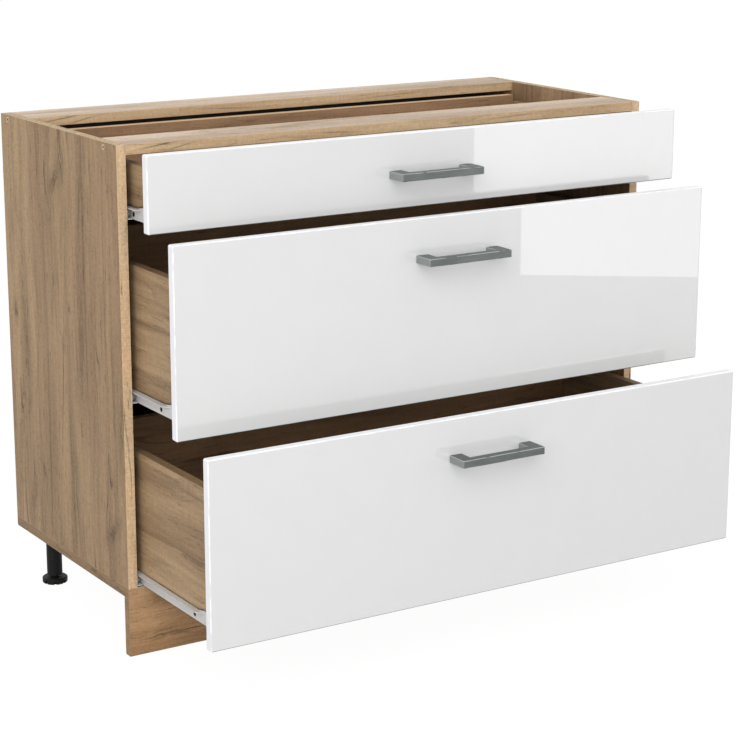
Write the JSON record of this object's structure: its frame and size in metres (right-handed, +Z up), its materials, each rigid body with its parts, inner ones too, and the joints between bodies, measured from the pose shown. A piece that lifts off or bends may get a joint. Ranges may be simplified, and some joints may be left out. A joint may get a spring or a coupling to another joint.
{
  "type": "kitchen base cabinet",
  "caption": "Wide kitchen base cabinet with stacked drawers on roller runners, bar handles, adjustable screw feet and a plinth board, open on top for a worktop.",
  "frame": {"origin": "on the floor, under the middle of the box around the whole cabinet with its drawers at rest", "axes": "+X to the right for a person who faces the drawers, +Y from the drawer fronts to the back, +Z up"},
  "size_m": [1, 0.757, 0.817],
  "materials": {
    "oak_board": "oak-look melamine on chipboard, satin",
    "drawer_board": "oak-look melamine on chipboard, satin",
    "thin_board": "dark painted fibreboard, matt",
    "front_gloss": "white gloss foil on fibreboard",
    "rail_white": "white powder-coated sheet steel",
    "handle_grey": "satin grey, finely brushed",
    "black_plastic": "moulded black plastic",
    "roller_plastic": "moulded pale plastic",
    "zinc": "zinc-plated steel",
    "beech": "raw beech"
  },
  "bodies": {
    "cabinet": {"side_panel_left": "oak_board", "side_panel_right": "oak_board", "bottom_panel": "oak_board", "front_stretcher": "oak_board", "rear_stretcher": "oak_board", "back_panel": "thin_board", "plinth_board": "oak_board", "plinth_clips": "black_plastic", "leg_sockets": "black_plastic", "leg_tubes": "black_plastic", "carcass_screws": "zinc", "carcass_dowels": "beech", "back_nails": "zinc", "runner_screws": "zinc", "top_wall_rail_left": "rail_white", "top_wall_rail_right": "rail_white", "middle_wall_rail_left": "rail_white", "middle_wall_rail_right": "rail_white", "bottom_wall_rail_left": "rail_white", "bottom_wall_rail_right": "rail_white"},
    "top_drawer": {"top_drawer_front": "front_gloss", "top_drawer_side_left": "drawer_board", "top_drawer_side_right": "drawer_board", "top_drawer_back": "drawer_board", "top_drawer_bottom": "thin_board", "top_box_rail_left": "rail_white", "top_box_rail_right": "rail_white", "top_handle": "handle_grey", "top_handle_screws": "zinc", "top_drawer_fixings": "zinc"},
    "top_front_rollers": {"top_front_rollers": "roller_plastic"},
    "top_rear_rollers": {"top_rear_rollers": "roller_plastic"},
    "middle_drawer": {"middle_drawer_front": "front_gloss", "middle_drawer_side_left": "drawer_board", "middle_drawer_side_right": "drawer_board", "middle_drawer_back": "drawer_board", "middle_drawer_bottom": "thin_board", "middle_box_rail_left": "rail_white", "middle_box_rail_right": "rail_white", "middle_handle": "handle_grey", "middle_handle_screws": "zinc", "middle_drawer_fixings": "zinc"},
    "middle_front_rollers": {"middle_front_rollers": "roller_plastic"},
    "middle_rear_rollers": {"middle_rear_rollers": "roller_plastic"},
    "bottom_drawer": {"bottom_drawer_front": "front_gloss", "bottom_drawer_side_left": "drawer_board", "bottom_drawer_side_right": "drawer_board", "bottom_drawer_back": "drawer_board", "bottom_drawer_bottom": "thin_board", "bottom_box_rail_left": "rail_white", "bottom_box_rail_right": "rail_white", "bottom_handle": "handle_grey", "bottom_handle_screws": "zinc", "bottom_drawer_fixings": "zinc"},
    "bottom_front_rollers": {"bottom_front_rollers": "roller_plastic"},
    "bottom_rear_rollers": {"bottom_rear_rollers": "roller_plastic"},
    "foot_front_left": {"foot_front_left": "black_plastic"},
    "foot_front_right": {"foot_front_right": "black_plastic"},
    "foot_rear_left": {"foot_rear_left": "black_plastic"},
    "foot_rear_right": {"foot_rear_right": "black_plastic"}
  },
  "joints": [
    {"name": "top_drawer_slide", "type": "slide", "parent": "cabinet", "child": "top_drawer", "axis": [0, -1, 0], "range_m": [-0.081, 0.218]},
    {"name": "top_front_rollers_spin", "type": "hinge", "parent": "cabinet", "child": "top_front_rollers", "pos_m": [0, -0.0505, 0.7115], "axis": [1, 0, 0], "range_deg": [-663, 1784.36]},
    {"name": "top_rear_rollers_spin", "type": "hinge", "parent": "top_drawer", "child": "top_rear_rollers", "pos_m": [0, 0.2425, 0.7097], "axis": [1, 0, 0], "range_deg": [-773.49, 2081.75]},
    {"name": "middle_drawer_slide", "type": "slide", "parent": "cabinet", "child": "middle_drawer", "axis": [0, -1, 0], "range_m": [-0.159, 0.14]},
    {"name": "middle_front_rollers_spin", "type": "hinge", "parent": "cabinet", "child": "middle_front_rollers", "pos_m": [0, -0.0505, 0.423], "axis": [1, 0, 0], "range_deg": [-1301.43, 1145.92]},
    {"name": "middle_rear_rollers_spin", "type": "hinge", "parent": "middle_drawer", "child": "middle_rear_rollers", "pos_m": [0, 0.1645, 0.4212], "axis": [1, 0, 0], "range_deg": [-1518.34, 1336.9]},
    {"name": "bottom_drawer_slide", "type": "slide", "parent": "cabinet", "child": "bottom_drawer", "axis": [0, -1, 0], "range_m": [-0.256, 0.043]},
    {"name": "bottom_front_rollers_spin", "type": "hinge", "parent": "cabinet", "child": "bottom_front_rollers", "pos_m": [0, -0.0505, 0.1245], "axis": [1, 0, 0], "range_deg": [-2095.39, 351.96]},
    {"name": "bottom_rear_rollers_spin", "type": "hinge", "parent": "bottom_drawer", "child": "bottom_rear_rollers", "pos_m": [0, 0.0675, 0.1227], "axis": [1, 0, 0], "range_deg": [-2444.62, 410.62]},
    {"name": "foot_front_left_turn", "type": "hinge", "parent": "cabinet", "child": "foot_front_left", "pos_m": [-0.456, -0.0105, 0], "axis": [0, 0, 1], "range_deg": [-720, 1800]},
    {"name": "foot_front_right_turn", "type": "hinge", "parent": "cabinet", "child": "foot_front_right", "pos_m": [0.456, -0.0105, 0], "axis": [0, 0, 1], "range_deg": [-720, 1800]},
    {"name": "foot_rear_left_turn", "type": "hinge", "parent": "cabinet", "child": "foot_rear_left", "pos_m": [-0.456, 0.3245, 0], "axis": [0, 0, 1], "range_deg": [-720, 1800]},
    {"name": "foot_rear_right_turn", "type": "hinge", "parent": "cabinet", "child": "foot_rear_right", "pos_m": [0.456, 0.3245, 0], "axis": [0, 0, 1], "range_deg": [-720, 1800]}
  ],
  "couplings": [
    {"joint": "top_front_rollers_spin", "follows": "top_drawer_slide", "rad_per_m": 142.86},
    {"joint": "top_rear_rollers_spin", "follows": "top_drawer_slide", "rad_per_m": 166.67},
    {"joint": "middle_front_rollers_spin", "follows": "middle_drawer_slide", "rad_per_m": 142.86},
    {"joint": "middle_rear_rollers_spin", "follows": "middle_drawer_slide", "rad_per_m": 166.67},
    {"joint": "bottom_front_rollers_spin", "follows": "bottom_drawer_slide", "rad_per_m": 142.86},
    {"joint": "bottom_rear_rollers_spin", "follows": "bottom_drawer_slide", "rad_per_m": 166.67}
  ]
}
